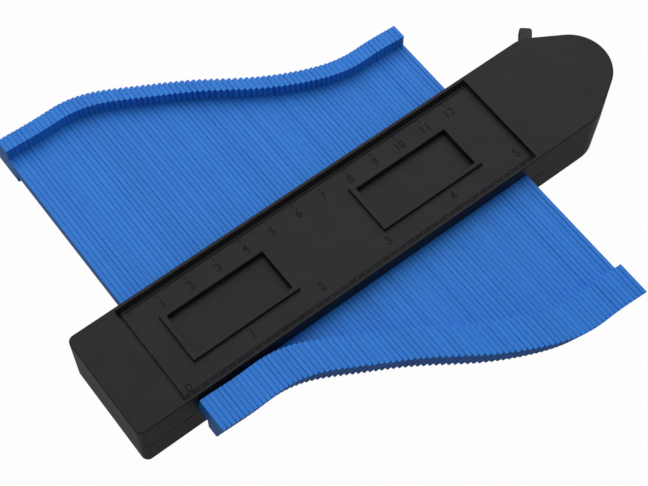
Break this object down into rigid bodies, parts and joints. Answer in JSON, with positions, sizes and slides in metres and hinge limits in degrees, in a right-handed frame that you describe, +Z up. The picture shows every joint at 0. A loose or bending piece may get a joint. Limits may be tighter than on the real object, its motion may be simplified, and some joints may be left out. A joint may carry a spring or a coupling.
{
  "type": "contour gauge",
  "caption": "Contour gauge: a row of sliding plastic teeth between two moulded covers with inch and centimetre scales, locked by a cam lever in the nose.",
  "frame": {"origin": "on the flat back face, under the middle of the row of teeth and on the body's centreline", "axes": "+X along the body towards the tapered nose, +Y along the teeth towards the centimetre edge, +Z up out of the scale side"},
  "size_m": [0.1936, 0.1646, 0.0224],
  "materials": {
    "cover_black": "fine satin moulded ABS",
    "tooth_blue": "smooth satin moulded ABS",
    "lever_black": "satin moulded nylon",
    "block_white": "moulded acetal",
    "bright_steel": "zinc plated"
  },
  "bodies": {
    "body": {"front_cover": "cover_black", "rear_cover": "cover_black", "lever_pin": "bright_steel", "preload_spring": "bright_steel", "tail_screws": "bright_steel", "nose_screws": "bright_steel"},
    "lock_lever": {"lock_lever": "lever_black"},
    "pressure_block": {"pressure_block": "block_white"},
    "teeth_01": {"teeth_01": "tooth_blue"},
    "teeth_02": {"teeth_02": "tooth_blue"},
    "teeth_03": {"teeth_03": "tooth_blue"},
    "teeth_04": {"teeth_04": "tooth_blue"},
    "teeth_05": {"teeth_05": "tooth_blue"},
    "teeth_06": {"teeth_06": "tooth_blue"},
    "teeth_07": {"teeth_07": "tooth_blue"},
    "teeth_08": {"teeth_08": "tooth_blue"},
    "teeth_09": {"teeth_09": "tooth_blue"},
    "teeth_10": {"teeth_10": "tooth_blue"},
    "teeth_11": {"teeth_11": "tooth_blue"},
    "teeth_12": {"teeth_12": "tooth_blue"},
    "teeth_13": {"teeth_13": "tooth_blue"},
    "teeth_14": {"teeth_14": "tooth_blue"},
    "teeth_15": {"teeth_15": "tooth_blue"},
    "teeth_16": {"teeth_16": "tooth_blue"},
    "teeth_17": {"teeth_17": "tooth_blue"},
    "teeth_18": {"teeth_18": "tooth_blue"},
    "teeth_19": {"teeth_19": "tooth_blue"},
    "teeth_20": {"teeth_20": "tooth_blue"},
    "teeth_21": {"teeth_21": "tooth_blue"},
    "teeth_22": {"teeth_22": "tooth_blue"},
    "teeth_23": {"teeth_23": "tooth_blue"},
    "teeth_24": {"teeth_24": "tooth_blue"},
    "teeth_25": {"teeth_25": "tooth_blue"},
    "teeth_26": {"teeth_26": "tooth_blue"},
    "teeth_27": {"teeth_27": "tooth_blue"},
    "teeth_28": {"teeth_28": "tooth_blue"},
    "teeth_29": {"teeth_29": "tooth_blue"},
    "teeth_30": {"teeth_30": "tooth_blue"},
    "teeth_31": {"teeth_31": "tooth_blue"},
    "teeth_32": {"teeth_32": "tooth_blue"},
    "teeth_33": {"teeth_33": "tooth_blue"},
    "teeth_34": {"teeth_34": "tooth_blue"},
    "teeth_35": {"teeth_35": "tooth_blue"},
    "teeth_36": {"teeth_36": "tooth_blue"},
    "teeth_37": {"teeth_37": "tooth_blue"},
    "teeth_38": {"teeth_38": "tooth_blue"},
    "teeth_39": {"teeth_39": "tooth_blue"},
    "teeth_40": {"teeth_40": "tooth_blue"},
    "teeth_41": {"teeth_41": "tooth_blue"}
  },
  "joints": [
    {"name": "lock_lever_turn", "type": "hinge", "parent": "body", "child": "lock_lever", "pos_m": [0.07958, 0, 0.0112], "axis": [0, 0, 1], "range_deg": [0, 36]},
    {"name": "pressure_block_slide", "type": "slide", "parent": "body", "child": "pressure_block", "axis": [1, 0, 0], "range_m": [-0.000494, 0]},
    {"name": "teeth_slide_01", "type": "slide", "parent": "body", "child": "teeth_01", "axis": [0, 1, 0], "range_m": [-0.06178, 0.00098]},
    {"name": "teeth_slide_02", "type": "slide", "parent": "body", "child": "teeth_02", "axis": [0, 1, 0], "range_m": [-0.06168, 0.00107]},
    {"name": "teeth_slide_03", "type": "slide", "parent": "body", "child": "teeth_03", "axis": [0, 1, 0], "range_m": [-0.06156, 0.00118]},
    {"name": "teeth_slide_04", "type": "slide", "parent": "body", "child": "teeth_04", "axis": [0, 1, 0], "range_m": [-0.06149, 0.00128]},
    {"name": "teeth_slide_05", "type": "slide", "parent": "body", "child": "teeth_05", "axis": [0, 1, 0], "range_m": [-0.06149, 0.0013]},
    {"name": "teeth_slide_06", "type": "slide", "parent": "body", "child": "teeth_06", "axis": [0, 1, 0], "range_m": [-0.06155, 0.00119]},
    {"name": "teeth_slide_07", "type": "slide", "parent": "body", "child": "teeth_07", "axis": [0, 1, 0], "range_m": [-0.06164, 0.00115]},
    {"name": "teeth_slide_08", "type": "slide", "parent": "body", "child": "teeth_08", "axis": [0, 1, 0], "range_m": [-0.06142, 0.00123]},
    {"name": "teeth_slide_09", "type": "slide", "parent": "body", "child": "teeth_09", "axis": [0, 1, 0], "range_m": [-0.06091, 0.00159]},
    {"name": "teeth_slide_10", "type": "slide", "parent": "body", "child": "teeth_10", "axis": [0, 1, 0], "range_m": [-0.06007, 0.00227]},
    {"name": "teeth_slide_11", "type": "slide", "parent": "body", "child": "teeth_11", "axis": [0, 1, 0], "range_m": [-0.05889, 0.00328]},
    {"name": "teeth_slide_12", "type": "slide", "parent": "body", "child": "teeth_12", "axis": [0, 1, 0], "range_m": [-0.05745, 0.0046]},
    {"name": "teeth_slide_13", "type": "slide", "parent": "body", "child": "teeth_13", "axis": [0, 1, 0], "range_m": [-0.0558, 0.00616]},
    {"name": "teeth_slide_14", "type": "slide", "parent": "body", "child": "teeth_14", "axis": [0, 1, 0], "range_m": [-0.05407, 0.00786]},
    {"name": "teeth_slide_15", "type": "slide", "parent": "body", "child": "teeth_15", "axis": [0, 1, 0], "range_m": [-0.05232, 0.00961]},
    {"name": "teeth_slide_16", "type": "slide", "parent": "body", "child": "teeth_16", "axis": [0, 1, 0], "range_m": [-0.0506, 0.01134]},
    {"name": "teeth_slide_17", "type": "slide", "parent": "body", "child": "teeth_17", "axis": [0, 1, 0], "range_m": [-0.04889, 0.01305]},
    {"name": "teeth_slide_18", "type": "slide", "parent": "body", "child": "teeth_18", "axis": [0, 1, 0], "range_m": [-0.04716, 0.01477]},
    {"name": "teeth_slide_19", "type": "slide", "parent": "body", "child": "teeth_19", "axis": [0, 1, 0], "range_m": [-0.04534, 0.01654]},
    {"name": "teeth_slide_20", "type": "slide", "parent": "body", "child": "teeth_20", "axis": [0, 1, 0], "range_m": [-0.04339, 0.01842]},
    {"name": "teeth_slide_21", "type": "slide", "parent": "body", "child": "teeth_21", "axis": [0, 1, 0], "range_m": [-0.04133, 0.02043]},
    {"name": "teeth_slide_22", "type": "slide", "parent": "body", "child": "teeth_22", "axis": [0, 1, 0], "range_m": [-0.03917, 0.02254]},
    {"name": "teeth_slide_23", "type": "slide", "parent": "body", "child": "teeth_23", "axis": [0, 1, 0], "range_m": [-0.037, 0.02471]},
    {"name": "teeth_slide_24", "type": "slide", "parent": "body", "child": "teeth_24", "axis": [0, 1, 0], "range_m": [-0.0349, 0.02686]},
    {"name": "teeth_slide_25", "type": "slide", "parent": "body", "child": "teeth_25", "axis": [0, 1, 0], "range_m": [-0.0329, 0.02892]},
    {"name": "teeth_slide_26", "type": "slide", "parent": "body", "child": "teeth_26", "axis": [0, 1, 0], "range_m": [-0.03106, 0.03084]},
    {"name": "teeth_slide_27", "type": "slide", "parent": "body", "child": "teeth_27", "axis": [0, 1, 0], "range_m": [-0.02936, 0.03261]},
    {"name": "teeth_slide_28", "type": "slide", "parent": "body", "child": "teeth_28", "axis": [0, 1, 0], "range_m": [-0.02779, 0.03424]},
    {"name": "teeth_slide_29", "type": "slide", "parent": "body", "child": "teeth_29", "axis": [0, 1, 0], "range_m": [-0.02633, 0.03576]},
    {"name": "teeth_slide_30", "type": "slide", "parent": "body", "child": "teeth_30", "axis": [0, 1, 0], "range_m": [-0.02499, 0.03716]},
    {"name": "teeth_slide_31", "type": "slide", "parent": "body", "child": "teeth_31", "axis": [0, 1, 0], "range_m": [-0.02379, 0.03843]},
    {"name": "teeth_slide_32", "type": "slide", "parent": "body", "child": "teeth_32", "axis": [0, 1, 0], "range_m": [-0.02279, 0.03953]},
    {"name": "teeth_slide_33", "type": "slide", "parent": "body", "child": "teeth_33", "axis": [0, 1, 0], "range_m": [-0.02204, 0.04042]},
    {"name": "teeth_slide_34", "type": "slide", "parent": "body", "child": "teeth_34", "axis": [0, 1, 0], "range_m": [-0.02155, 0.04104]},
    {"name": "teeth_slide_35", "type": "slide", "parent": "body", "child": "teeth_35", "axis": [0, 1, 0], "range_m": [-0.02134, 0.04139]},
    {"name": "teeth_slide_36", "type": "slide", "parent": "body", "child": "teeth_36", "axis": [0, 1, 0], "range_m": [-0.02133, 0.04144]},
    {"name": "teeth_slide_37", "type": "slide", "parent": "body", "child": "teeth_37", "axis": [0, 1, 0], "range_m": [-0.02139, 0.04141]},
    {"name": "teeth_slide_38", "type": "slide", "parent": "body", "child": "teeth_38", "axis": [0, 1, 0], "range_m": [-0.02133, 0.04143]},
    {"name": "teeth_slide_39", "type": "slide", "parent": "body", "child": "teeth_39", "axis": [0, 1, 0], "range_m": [-0.0212, 0.04152]},
    {"name": "teeth_slide_40", "type": "slide", "parent": "body", "child": "teeth_40", "axis": [0, 1, 0], "range_m": [-0.02102, 0.04169]},
    {"name": "teeth_slide_41", "type": "slide", "parent": "body", "child": "teeth_41", "axis": [0, 1, 0], "range_m": [-0.02094, 0.04186]}
  ],
  "couplings": [
    {"joint": "lock_lever_turn", "follows": "pressure_block_slide", "rad_per_m": -1270.8}
  ]
}
